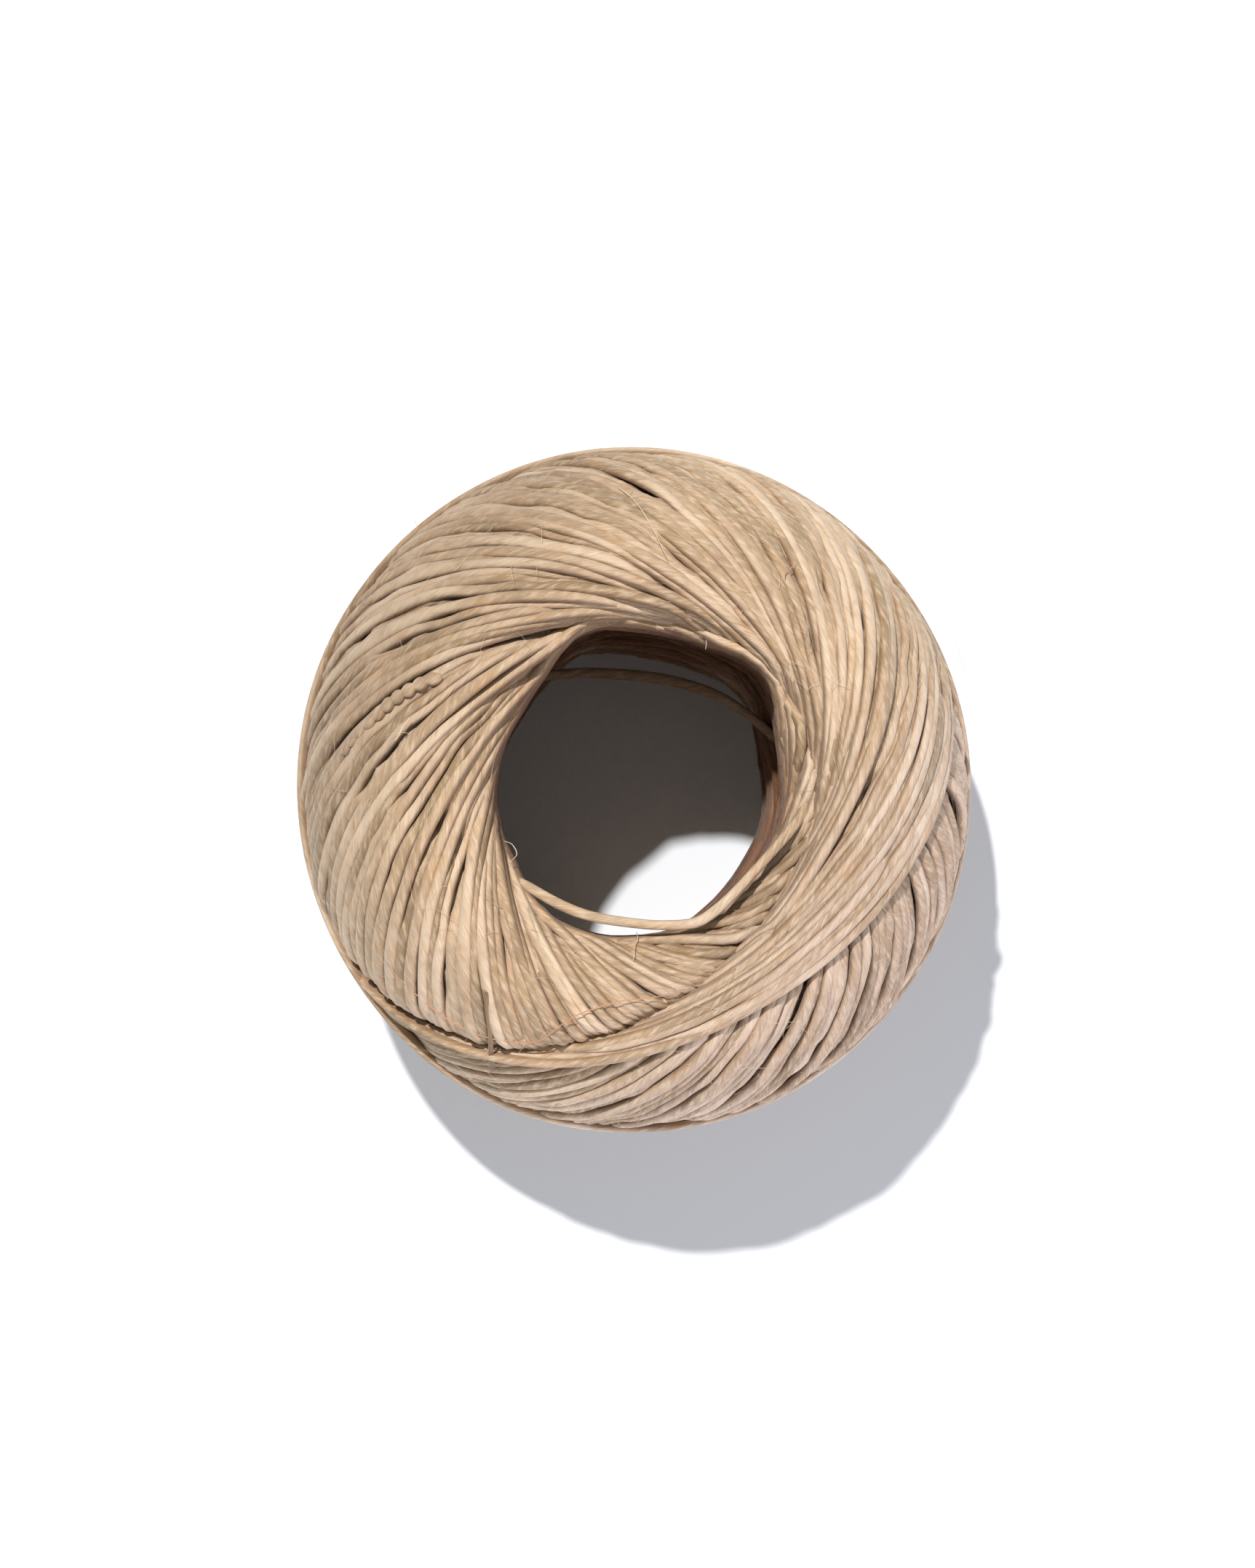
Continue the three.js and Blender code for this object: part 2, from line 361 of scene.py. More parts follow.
def turn_places(sizes, turns, points, rng):
    """The winding on a unit ball: turns loops of points samples each, from the oldest to the last.

    A loop is a great circle, walked clockwise by an angle from its lowest point. Its highest point
    has the bearing and reach that WINDING gives, and both run on smoothly from loop to loop.
    Returns directions and the sideways unit vectors, shaped (turns, points, 3), and how far apart
    neighbouring loops lie, shaped (turns, points): a blend of the mean and the larger of the sideways
    distances to the loop before and the loop after.
    """
    strays = np.clip(rng.normal(size=turns + 1), -STEP_LIMIT, STEP_LIMIT)
    step = sizes.turn_step * (1 + STEP_JITTER * strays)
    step[-LAST_TURNS:] *= LAST_CLOSENESS
    back = np.concatenate([np.cumsum(step[::-1])[::-1][1:], [0.0]])
    table_back = np.radians([row["back"] for row in WINDING])
    reach = np.interp(back, table_back, [row["reach"] for row in WINDING])
    uneven = np.clip(np.degrees(back) / STEADY_DEGREES, STEADIEST, 1)
    reach = reach + REACH_JITTER * rng.normal(size=turns + 1) * uneven
    share = np.linspace(0, 1, points, endpoint=False)
    along = np.arange(turns)[:, None] + share[None, :]
    high_bearing = LAST_BEARING - np.interp(along, np.arange(turns + 1), back)
    tilt = np.arccos(np.interp(along, np.arange(turns + 1), reach))
    walked = FULL_TURN * (share[None, :] - 0.5)
    up_share = np.cos(walked)
    on_share = np.sin(walked)
    # bearings run clockwise from +Y, so the horizontal axes are (sin, cos)
    toward = np.stack([np.sin(high_bearing), np.cos(high_bearing)], -1)
    onward = np.stack([np.cos(high_bearing), -np.sin(high_bearing)], -1)
    flat = up_share[..., None] * np.cos(tilt)[..., None] * toward + on_share[..., None] * onward
    directions = np.concatenate([flat, (up_share * np.sin(tilt))[..., None]], -1)
    sideways = np.concatenate([-np.sin(tilt)[..., None] * toward, np.cos(tilt)[..., None]], -1)
    shift = np.abs(((directions[1:] - directions[:-1]) * sideways[1:]).sum(-1)) * sizes.waist_radius
    before = np.concatenate([shift[:1], shift])
    after = np.concatenate([shift, shift[-1:]])
    mean = 0.5 * (before + after)
    apart = (1 - LARGER_SHARE) * mean + LARGER_SHARE * np.maximum(before, after)
    return directions, sideways, apart


class WoundSurface:
    """How high the twine stands over the ball's core, on a grid of bearing and latitude."""

    CELL = 0.4 * MM
    # a turn is laid by so many lanes, which reach this share of its width to either side
    LANES = 5
    LANE_REACH = 0.42

    def __init__(self, sizes):
        self.radius = sizes.waist_radius
        self.thickness = sizes.twine_thickness
        self.rounds = int(FULL_TURN * self.radius / self.CELL)
        self.rows = self.rounds // 2
        self.height = np.zeros((self.rounds, self.rows))
        self.covered = np.zeros((self.rounds, self.rows), bool)
        # the lanes' places as shares of the width, and how high the twine's round back rises in each
        self.lane = np.linspace(-self.LANE_REACH, self.LANE_REACH, self.LANES)
        self.lane_rise = 0.5 * self.thickness * np.sqrt(1 - (2 * self.lane) ** 2)

    def cells(self, directions):
        """The grid cell under each direction."""
        bearing = np.arctan2(directions[..., 0], directions[..., 1]) % FULL_TURN
        latitude = np.arcsin(np.clip(directions[..., 2] / np.linalg.norm(directions, axis=-1), -1, 1))
        column = (bearing / FULL_TURN * self.rounds).astype(int) % self.rounds
        row = ((latitude / math.pi + 0.5) * self.rows).astype(int).clip(0, self.rows - 1)
        return column, row

    def lay(self, directions, sideways, width, sink, stiff, settle):
        """Lays one loop and returns its height. It needs the height of what is below it, which is
        smoothed over stiff samples, as a taut strand bridges dips, but not to more than sink below
        the need. It is smoothed once more over settle samples and stamped into the grid."""
        aside = self.lane[None, :] * width[:, None] / self.radius
        lanes = directions[:, None, :] + aside[..., None] * sideways[:, None, :]
        column, row = self.cells(lanes)
        need = (self.height[column, row] + self.lane_rise).max(axis=1)
        height = np.maximum(smooth(need, stiff), need - sink)
        height = smooth(height, settle)
        top = height[:, None] + self.lane_rise
        np.maximum.at(self.height, (column, row), top)
        self.covered[column, row] = True
        return height

    def mean_height(self, reach):
        """The grid blurred over reach samples, counting only covered cells."""
        weight = self.covered.astype(float)
        total = self.height * weight
        bell = gaussian(reach)
        half = len(bell) // 2
        blurred = []
        for grid in (total, weight):
            wrapped = np.concatenate([grid[-half:], grid, grid[:half]], 0)
            rolled = np.apply_along_axis(np.convolve, 0, wrapped, bell, "valid")
            padded = np.pad(rolled, ((0, 0), (half, half)))
            blurred.append(np.apply_along_axis(np.convolve, 1, padded, bell, "valid"))
        return blurred[0] / np.maximum(blurred[1], 1e-6)


def place_on_ball(directions, offset, sizes):
    """Points on the ball: a unit direction stretched to the ellipsoid plus offset. Where it would fall
    in the hole, it is first turned outwards until it clears the hole's edge, and the height is kept
    above the surface that the ball stands on by a soft limit."""
    across = directions[..., :2] * (sizes.waist_radius + offset)[..., None] * (1, sizes.waist_stretch)
    radius = np.hypot(across[..., 0], across[..., 1])
    bearing = np.arctan2(across[..., 0], across[..., 1])
    clear = soft_above(radius, hole_edge(bearing) + EDGE_CLEARANCE * sizes.twine_width, HOLE_EASE)
    outward = clear / np.maximum(radius, 1e-6)
    across = across * outward[..., None]
    flat = outward * np.hypot(directions[..., 0], directions[..., 1])
    side = np.sign(directions[..., 2])
    rise = np.sqrt(np.clip(1 - flat ** 2, 0, 1)) * (sizes.dome_height + offset)
    height = centre_height(sizes) + side * rise - lip_drop(clear, side, sizes)
    height = soft_above(height, 0.5 * sizes.twine_thickness, FLOOR_EASE)
    return np.concatenate([across, height[..., None]], -1)


def lip_drop(radius, side, sizes):
    """How far the ball's surface falls away from the ellipsoid at the hole's lip, up on the underside
    (side -1) and down on the top (side 1): it grows with the square of the way in from where the
    surface starts to round."""
    start = np.where(side > 0, sizes.top_lip_radius, sizes.foot_lip_radius)
    inward = np.clip(start - radius, 0, None) / (start - HOLE_RADIUS)
    return side * sizes.lip_drop * inward ** 2


def top_height(points, sizes):
    """Height of the ball's upper surface over points: the ellipsoid less the drop at the lip."""
    radius = np.hypot(points[..., 0], points[..., 1])
    dome = np.sqrt(np.clip(1 - (radius / sizes.waist_radius) ** 2, 0, 1))
    return centre_height(sizes) + sizes.dome_height * dome - lip_drop(radius, 1, sizes)


def wall_belly(height, sizes):
    """How far the wall of the hole stands back at a height: it bulges out between its two edges like a
    barrel, as one less the square of the way up or down from the middle."""
    share = (height - centre_height(sizes)) / HOLE_WALL_HALF
    return sizes.belly * np.clip(1 - share ** 2, 0, 1)


def ball_normals(points, sizes):
    """Outward directions of the ellipsoid that the ball follows."""
    rise = points[..., 2] - centre_height(sizes)
    normals = np.stack([
        points[..., 0] / sizes.waist_radius ** 2,
        points[..., 1] / sizes.waist_radius ** 2,
        rise / sizes.dome_height ** 2,
    ], -1)
    return normals / np.linalg.norm(normals, axis=-1, keepdims=True)


def pattern_start(index):
    """Where a turn of that index takes up the material's pattern: steps that start over past the end,
    so that no two turns look alike."""
    return index * PATTERN_STEP % PATTERN_LENGTH


def unit(vectors):
    """vectors scaled to length one."""
    return vectors / np.maximum(np.linalg.norm(vectors, axis=-1, keepdims=True), 1e-12)


def sweep(paths, normals, widths, thicknesses, sides, breaks=None):
    """Closed twine skins round many paths at once.

    A skin is an ellipse carried along its path: point = path + half width times cosine along the
    side direction + half thickness times sine along the normal. paths and normals are shaped
    (strands, steps, 3), widths and thicknesses (strands, steps). breaks gives, for each stretch
    between two steps, the length to take off the running length that the map's V holds.
    Returns vertices, quads, the triangles that close both ends, and the U and V of each quad's
    corners in metres.
    """
    strands, steps = paths.shape[:2]
    forward = unit(np.gradient(paths, axis=1))
    normals = unit(normals - (normals * forward).sum(-1, keepdims=True) * forward)
    side = np.cross(forward, normals)
    turn = -0.5 * math.pi + FULL_TURN * np.arange(sides) / sides
    ring = (
        paths[:, :, None]
        + 0.5 * widths[:, :, None, None] * np.cos(turn)[None, None, :, None] * side[:, :, None]
        + 0.5 * thicknesses[:, :, None, None] * np.sin(turn)[None, None, :, None] * normals[:, :, None]
    )
    # the two ends close in a point
    vertices = np.concatenate([ring.reshape(-1, 3), paths[:, 0], paths[:, -1]])
    start = (np.arange(strands) * steps * sides)[:, None, None]
    step = (np.arange(steps - 1) * sides)[None, :, None]
    here = np.arange(sides)[None, None, :]
    after = (here + 1) % sides
    quads = np.stack([
        start + step + here,
        start + step + after,
        start + step + sides + after,
        start + step + sides + here,
    ], -1)
    length = np.concatenate([
        np.zeros((strands, 1)), np.cumsum(np.linalg.norm(np.diff(paths, axis=1), axis=-1), axis=1)], 1)
    if breaks is None:
        breaks = np.zeros((strands, steps - 1))
    v_near = np.broadcast_to((length[:, :-1] - breaks)[:, :, None], quads.shape[:3])
    v_far = np.broadcast_to((length[:, 1:] - breaks)[:, :, None], quads.shape[:3])
    u_here = np.broadcast_to(GIRTH * here / sides, quads.shape[:3])
    u_after = np.broadcast_to(GIRTH * (here + 1) / sides, quads.shape[:3])
    corner_uv = np.stack([
        np.stack([u_here, v_near], -1),
        np.stack([u_after, v_near], -1),
        np.stack([u_after, v_far], -1),
        np.stack([u_here, v_far], -1),
    ], -2)
    first = (np.arange(strands) * steps * sides)[:, None]
    last = first + (steps - 1) * sides
    tip = strands * steps * sides + np.arange(strands)[:, None]
    near_cap = np.stack([
        np.broadcast_to(tip, (strands, sides)), first + after[0, 0], first + here[0, 0]], -1)
    far_cap = np.stack([
        np.broadcast_to(tip + strands, (strands, sides)), last + here[0, 0], last + after[0, 0]], -1)
    caps = np.concatenate([near_cap.reshape(-1, 3), far_cap.reshape(-1, 3)])
    return vertices, quads.reshape(-1, 4), caps, corner_uv.reshape(-1, 4, 2)


def new_piece(name, vertices, quads, triangles, corner_uv, material):
    """A mesh object at the origin from arrays, with smooth faces and the map "twine"."""
    mesh = bpy.data.meshes.new(name)
    loops = np.concatenate([quads.reshape(-1), triangles.reshape(-1)]).astype(np.int32)
    sizes = np.concatenate([np.full(len(quads), 4), np.full(len(triangles), 3)])
    starts = np.concatenate([[0], np.cumsum(sizes)[:-1]]).astype(np.int32)
    mesh.vertices.add(len(vertices))
    mesh.vertices.foreach_set("co", vertices.astype(np.float32).reshape(-1))
    mesh.loops.add(len(loops))
    mesh.loops.foreach_set("vertex_index", loops)
    mesh.polygons.add(len(sizes))
    mesh.polygons.foreach_set("loop_start", starts)
    mesh.polygons.foreach_set("use_smooth", np.ones(len(sizes), bool))
    uv_layer = mesh.uv_layers.new(name="twine")
    uv = np.zeros((len(loops), 2), np.float32)
    uv[:quads.size] = corner_uv.reshape(-1, 2)
    uv_layer.data.foreach_set("uv", uv.reshape(-1))
    mesh.update(calc_edges=True)
    mesh.validate()
    mesh.materials.append(material)
    piece = bpy.data.objects.new(name, mesh)
    bpy.context.scene.collection.objects.link(piece)
    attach(piece, "root")
    return piece


def node(tree, kind, inputs=None, **settings):
    """Adds a node, sets its settings, and sets or links its inputs."""
    made = tree.nodes.new(kind)
    for key, value in settings.items():
        setattr(made, key, value)
    for key, value in (inputs or {}).items():
        if isinstance(value, bpy.types.NodeSocket):
            tree.links.new(value, made.inputs[key])
        else:
            made.inputs[key].default_value = value
    return made


def layered(tree, colour, layers):
    """Lays colours over a colour, one after another. A layer is a value, the two limits between which
    it grows from nothing to its strength, the strength, its colour, and how the colour blends in."""
    for value, low, high, strength, tint, blend in layers:
        share = node(tree, "ShaderNodeMapRange", {
            "Value": value, "From Min": low, "From Max": high, "To Max": strength}).outputs["Result"]
        colour = node(tree, "ShaderNodeMix", {"Factor": share, "A": colour, "B": tint},
                      data_type="RGBA", blend_type=blend).outputs["Result"]
    return colour


def depth_in_ball(tree, sizes):
    """How far a point lies inside the ball's ellipsoid, in metres: the waist radius times one less
    the length of (x / waist, y / waist, (z - middle) / dome)."""
    place = node(tree, "ShaderNodeTexCoord").outputs["Object"]
    scaled = node(tree, "ShaderNodeMapping", {
        "Vector": place,
        "Location": (0, 0, -centre_height(sizes) / sizes.dome_height),
        "Scale": (1 / sizes.waist_radius, 1 / sizes.waist_radius, 1 / sizes.dome_height)})
    reach = node(tree, "ShaderNodeVectorMath", {0: scaled.outputs["Vector"]}, operation="LENGTH")
    return node(tree, "ShaderNodeMath", {
        0: reach.outputs["Value"], 1: -sizes.waist_radius, 2: sizes.waist_radius},
        operation="MULTIPLY_ADD").outputs["Value"]


def hemp_grain(tree, uv):
    """Noise on the twine's map, by the name of what it makes uneven. The grains are so many
    millimetres across the twine and along it, and some climb round it with the fibres."""
    slanted = node(tree, "ShaderNodeMapping", {
        "Vector": uv, "Rotation": (0, 0, FIBRE_SLANT)}).outputs["Vector"]
    grain = {}
    for pattern, vector, across, along, detail, seed in (
            ("fibres", slanted, 0.13, 2.6, 2.0, 1.7),
            ("strands", slanted, 0.5, 2.2, 2.0, 5.1),
            ("lot", uv, 9, 26, 2.0, 9.4),
            ("blotches", uv, 2.5, 3.5, 2.0, 3.3),
            ("flecks", slanted, 0.6, 5, 2.0, 7.9),
            ("sheen_spots", slanted, 0.7, 2.2, 1.0, 4.4),
            ("lumps", slanted, 1.3, 2.4, 1.0, 6.2),
            ("orange", uv, 1.6, 6, 2.0, 12.8)):
        scaled = node(tree, "ShaderNodeMapping", {
            "Vector": vector, "Location": (seed, 2.3 * seed, 0),
            "Scale": (1 / (across * MM), 1 / (along * MM), 1)}).outputs["Vector"]
        grain[pattern] = node(tree, "ShaderNodeTexNoise", {
            "Vector": scaled, "Scale": 1.0, "Detail": detail, "Roughness": 0.55},
            noise_dimensions="2D").outputs["Fac"]
    return grain


def hemp_material(name, sizes, colours, wall_shade):
    """Unbleached hemp, lightly spun: beige fibres at a slant along the twine, with greener, paler and
    orange stretches, paler streaks that are partly painted glints, flecks of bark, painted shade in
    the grooves between turns, and a faint polish where the fibres lie flat. One side of the ball is
    darker with painted shade and the side across from it has a painted cool tint of the fill light.
    Deep in the hole the hemp goes to dark brown by wall_shade: painted shade, where light hardly
    reaches."""
    dark, middle, pale, warm, bark, groove_shade, deep = (linear(tone) for tone in (
        colours.olive, colours.tan, colours.pale, colours.warm, colours.bark, colours.groove_shade,
        colours.deep))
    # which way the side with painted shade lies, and what the two sides' colours are multiplied by:
    # painted shade on that side, and a painted cool tint of the fill light on the side across from it
    painted_shade_way = (-0.78, 0.62, 0)
    painted_shade_side = (0.72, 0.70, 0.68, 1)
    painted_fill_tint = (0.93, 0.96, 1.06, 1)
    material = bpy.data.materials.new(name)
    material.use_nodes = True
    tree = material.node_tree
    tree.nodes.clear()
    uv = node(tree, "ShaderNodeUVMap", uv_map="twine").outputs["UV"]
    grain = hemp_grain(tree, uv)
    # from the crown of a turn to its flank goes from 0 to 1
    round_twine = node(tree, "ShaderNodeSeparateXYZ", {"Vector": uv}).outputs["X"]
    off_crown = node(tree, "ShaderNodeMath", {
        0: round_twine, 1: 4 / GIRTH, 2: -2.0}, operation="MULTIPLY_ADD")
    flank = node(tree, "ShaderNodeMath", {0: off_crown.outputs["Value"]}, operation="ABSOLUTE")
    place = node(tree, "ShaderNodeTexCoord").outputs["Object"]
    toward_painted_shade = node(tree, "ShaderNodeVectorMath", {
        0: place, 1: painted_shade_way}, operation="DOT_PRODUCT").outputs["Value"]
    mottled = layered(tree, dark, (
        (grain["lot"], 0.34, 0.50, 1.0, middle, "MIX"),
        (grain["lot"], 0.50, 0.68, 1.0, pale, "MIX"),
        (grain["blotches"], 0.52, 0.72, 0.4, dark, "MIX"),
        (grain["orange"], 0.58, 0.76, 0.4, warm, "MIX"),
        # paler fibre streaks: partly the hemp's own paler fibres, partly painted glints
        (grain["strands"], 0.45, 0.72, 0.65, pale, "MIX")))
    streak = node(tree, "ShaderNodeMapRange", {
        "Value": grain["fibres"], "From Min": 0.28, "From Max": 0.72, "To Min": 0.82, "To Max": 1.108})
    streaked = node(tree, "ShaderNodeVectorMath", {
        0: mottled, "Scale": streak.outputs["Result"]}, operation="SCALE").outputs["Vector"]
    colour = layered(tree, streaked, (
        (grain["flecks"], 0.72, 0.80, 0.7, bark, "MIX"),
        # painted shade on each turn's flanks, where the grooves between turns lie in shade
        (flank.outputs["Value"], 0.62, 0.98, 0.6, groove_shade, "MIX"),
        # painted shade on one side of the ball, and a painted cool tint of the fill light on the side
        # across from it
        (toward_painted_shade, 16 * MM, 30 * MM, 1.0, painted_shade_side, "MULTIPLY"),
        (toward_painted_shade, -12 * MM, -26 * MM, 1.0, painted_fill_tint, "MULTIPLY"),
        # painted shade deep in the hole, as much as wall_shade gives
        (depth_in_ball(tree, sizes), 10 * MM, 16 * MM, wall_shade, deep, "MULTIPLY")))
    rough = node(tree, "ShaderNodeMapRange", {
        "Value": grain["sheen_spots"], "From Min": 0.55, "From Max": 0.75, "To Min": 0.85, "To Max": 0.42})
    relief = node(tree, "ShaderNodeMath", {0: grain["fibres"], 1: grain["strands"]}, operation="ADD")
    swollen = node(tree, "ShaderNodeBump", {
        "Height": grain["lumps"], "Strength": 0.7, "Distance": 0.3 * MM})
    bump = node(tree, "ShaderNodeBump", {
        "Height": relief.outputs["Value"], "Strength": 0.7, "Distance": 0.09 * MM,
        "Normal": swollen.outputs["Normal"]})
    shader = node(tree, "ShaderNodeBsdfPrincipled", {
        "Base Color": colour, "Roughness": rough.outputs["Result"], "Normal": bump.outputs["Normal"],
        "IOR": 1.5, "Specular IOR Level": 0.4, "Sheen Weight": 0.1, "Sheen Roughness": 0.5})
    node(tree, "ShaderNodeOutputMaterial", {"Surface": shader.outputs["BSDF"]})
    return material


def hemp(scene, name="unbleached_hemp", wall_shade=1.0):
    """The hemp of that name, made the first time it is asked for."""
    return bpy.data.materials.get(name) or hemp_material(
        name, scene.ball_sizes, scene.ball_colours, wall_shade)


def plain_fibre(name, colour):
    """A single loose fibre of hemp: one colour and a slight shine."""
    material = bpy.data.materials.new(name)
    material.use_nodes = True
    shader = material.node_tree.nodes["Principled BSDF"]
    shader.inputs["Base Color"].default_value = colour
    shader.inputs["Roughness"].default_value = 0.5
    return material


def heart_material(colours):
    """Twine deep inside the ball, where no light reaches: dark brown and dull, in spots of 2 mm."""
    material = bpy.data.materials.new("shaded_hemp_heart")
    material.use_nodes = True
    tree = material.node_tree
    tree.nodes.clear()
    place = node(tree, "ShaderNodeTexCoord").outputs["Object"]
    spots = node(tree, "ShaderNodeTexNoise", {"Vector": place, "Scale": 1 / (2 * MM), "Detail": 3.0})
    colour = layered(tree, linear(colours.heart_shade), (
        (spots.outputs["Fac"], 0.3, 0.7, 1.0, linear(colours.heart), "MIX"),))
    shader = node(tree, "ShaderNodeBsdfPrincipled", {"Base Color": colour, "Roughness": 0.95})
    node(tree, "ShaderNodeOutputMaterial", {"Surface": shader.outputs["BSDF"]})
    return material


class TWINE_OT_turns(bpy.types.Operator):
    """Winds the outer turns of the ball, each laid over the ones before"""

    bl_idname = "twine.turns"
    bl_label = "Wind the outer turns"

    # how far a turn stands proud of the ball, or lies below it, at the most, and how gently it gets there
    RELIEF = 0.36 * MM
    RELIEF_EASE = 1.7
    # how close buried turns lie, as a share of round ones, and how deep they go at the most
    PACKING = 0.6
    DEEPEST = 1.9 * MM
    DEEPEST_EASE = 0.4 * MM
    # how far turns overlap sideways, and their narrowest and widest as shares of the usual width
    OVERLAP = 0.2 * MM
    NARROWEST = 0.85
    WIDEST = 1.5
    # laying: how far a turn sinks into those below it, and over how many samples it is stiff and settles
    SINK = 0.45 * MM
    STIFF = 6.0
    SETTLE = 2.5
    # over how many samples the mean surface and the turns' heights are blurred
    BLUR = 4.0
    # how many places of a turn are laid, how many turns the runs have, and their points a turn
    LAY_POINTS = 840
    CYCLE_TURNS = 138
    LATE_TURNS = 69
    LATE_POINTS = 150
    EARLY_POINTS = 104
    # how the twine strays, has long slubs and short nubs, and is squeezed: by how much, and over how
    # many millimetres
    STRAY, STRAY_REACH = 0.10 * MM, 14
    SLUB, SLUB_REACH = 0.09, 9
    NUB, NUB_REACH = 0.07, 2.5
    SQUEEZE, SQUEEZE_REACH = 0.06, 5
    # the lowest that its middle may lie, as a share of its thickness
    LOWEST = 0.61

    def execute(self, context):
        sizes = context.scene.ball_sizes
        rng = np.random.default_rng(sizes.seed)
        turns = 2 * self.CYCLE_TURNS
        directions, sideways, apart = turn_places(sizes, turns, self.LAY_POINTS, rng)
        widths = np.clip(
            apart + self.OVERLAP, self.NARROWEST * sizes.twine_width, self.WIDEST * sizes.twine_width)
        surface = WoundSurface(sizes)
        heights = np.array([
            surface.lay(directions[i], sideways[i], widths[i], self.SINK, self.STIFF, self.SETTLE)
            for i in range(turns)])
        column, row = surface.cells(directions)
        half = 0.5 * sizes.twine_thickness
        buried = np.maximum(surface.height[column, row] - heights - half, 0)
        relief = heights + half - surface.mean_height(self.BLUR)[column, row]
        relief = self.RELIEF * np.tanh(relief / (self.RELIEF_EASE * self.RELIEF))
        offset = relief - half - soft_below(self.PACKING * buried, self.DEEPEST, self.DEEPEST_EASE)
        offset = smooth(offset.reshape(1, -1), self.BLUR).reshape(heights.shape)
        material = hemp(context.scene)
        late = turns - self.LATE_TURNS
        # name, first and last turn, points a turn, sides of the twine
        spans = (
            ("early_turns", 0, self.CYCLE_TURNS, self.EARLY_POINTS, 6),
            ("middle_turns", self.CYCLE_TURNS, late, self.LATE_POINTS, 8),
            ("late_turns", late, turns, self.LATE_POINTS, 8),
        )
        for name, first, last, points, sides in spans:
            loops = (directions[first:last], offset[first:last], widths[first:last])
            self.wind(name, loops, points, sides, sizes, rng, material)
        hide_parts("wound_body")
        return {"FINISHED"}

    def wind(self, name, loops, points, sides, sizes, rng, material):
        """One run of turns as a single unbroken length of twine: the loops' directions and offsets,
        taken at points places a turn, are put on the ball, stray a little from it, and carry an
        ellipse whose width swells and thins."""
        directions, offset, widths = loops
        turns = len(directions)
        fine = np.arange(turns * self.LAY_POINTS)
        coarse = np.linspace(0, len(fine) - 1, turns * points)
        columns = directions.reshape(-1, 3).T
        path_directions = unit(np.stack([np.interp(coarse, fine, column) for column in columns], -1))
        path_offset = np.interp(coarse, fine, offset.reshape(-1))
        count = len(coarse)
        path = place_on_ball(path_directions, path_offset, sizes)
        per_mm = points / (FULL_TURN * sizes.waist_radius / MM)
        strays = [wander(rng, count, self.STRAY_REACH * per_mm) for _ in range(3)]
        path = path + self.STRAY * np.stack(strays, -1)
        path[:, 2] = np.maximum(path[:, 2], self.LOWEST * sizes.twine_thickness)
        slub = 1 + self.SLUB * wander(rng, count, self.SLUB_REACH * per_mm)
        slub = slub + self.NUB * wander(rng, count, self.NUB_REACH * per_mm)
        width = np.interp(coarse, fine, widths.reshape(-1)) * np.clip(slub, 0.8, 1.3)
        squeezed = 1 + self.SQUEEZE * wander(rng, count, self.SQUEEZE_REACH * per_mm)
        thickness = sizes.twine_thickness * np.clip(squeezed, 0.8, 1.2)
        # V starts again at each turn's lowest point, where it can't be seen, from a new place
        running = np.concatenate([[0], np.cumsum(np.linalg.norm(np.diff(path, axis=0), axis=1))])
        turn_of = np.arange(count - 1) // points
        begin = running[np.minimum(np.arange(turns + 1) * points, count - 1)]
        breaks = begin[turn_of] - pattern_start(turn_of)
        normals = ball_normals(path, sizes)
        arrays = sweep(path[None], normals[None], width[None], thickness[None], sides, breaks[None])
        new_piece(name, *arrays, material)


class TWINE_OT_heart(bpy.types.Operator):
    """Fills the ball under its turns, so that no light passes between them"""

    bl_idname = "twine.heart"
    bl_label = "Fill the heart"

    DEPTH = 3.4 * MM
    WALL_GAP = 2.2 * MM
    LIP_RADIUS = 22 * MM
    LIP_ROUNDING = 2 * MM
    FOOT = 1.6 * MM
    ROUNDS = 120
    STEPS = 40
    WALL_STEPS = 8

    def execute(self, context):
        """A ring carried round the axis: outside, the ball's ellipsoid and lips at a depth, and
        inside, the hole's edge and belly at a gap."""
        sizes = context.scene.ball_sizes
        radius = sizes.waist_radius - self.DEPTH
        dome = sizes.dome_height - self.DEPTH
        crown = math.acos(self.LIP_RADIUS / radius)
        latitude = np.linspace(-crown, crown, self.STEPS)
        outer_radius = radius * np.cos(latitude)
        outer_height = centre_height(sizes) + dome * np.sin(latitude)
        outer_height -= lip_drop(outer_radius, np.sign(latitude), sizes)
        outer_height = np.maximum(outer_height, self.FOOT)
        bearing = FULL_TURN * np.arange(self.ROUNDS) / self.ROUNDS
        wall_height = np.linspace(
            outer_height[-1] - self.LIP_ROUNDING, outer_height[0] + self.LIP_ROUNDING, self.WALL_STEPS)
        wall_edge = hole_edge(bearing) + self.WALL_GAP
        wall_radius = wall_edge[:, None] + wall_belly(wall_height, sizes)[None, :]
        radius_grid = np.concatenate([np.tile(outer_radius, (self.ROUNDS, 1)), wall_radius], 1)
        height_grid = np.tile(np.concatenate([outer_height, wall_height]), (self.ROUNDS, 1))
        vertices = np.stack([
            radius_grid * np.sin(bearing)[:, None],
            radius_grid * np.cos(bearing)[:, None],
            height_grid,
        ], -1).reshape(-1, 3)
        count = radius_grid.shape[1]
        near = (np.arange(self.ROUNDS) * count)[:, None]
        far = (((np.arange(self.ROUNDS) + 1) % self.ROUNDS) * count)[:, None]
        here = np.arange(count)[None, :]
        after = (here + 1) % count
        quads = np.stack([near + here, near + after, far + after, far + here], -1).reshape(-1, 4)
        material = heart_material(context.scene.ball_colours)
        no_triangles = np.zeros((0, 3), int)
        new_piece("ball_heart", vertices, quads, no_triangles, np.zeros((len(quads), 4, 2)), material)
        return {"FINISHED"}


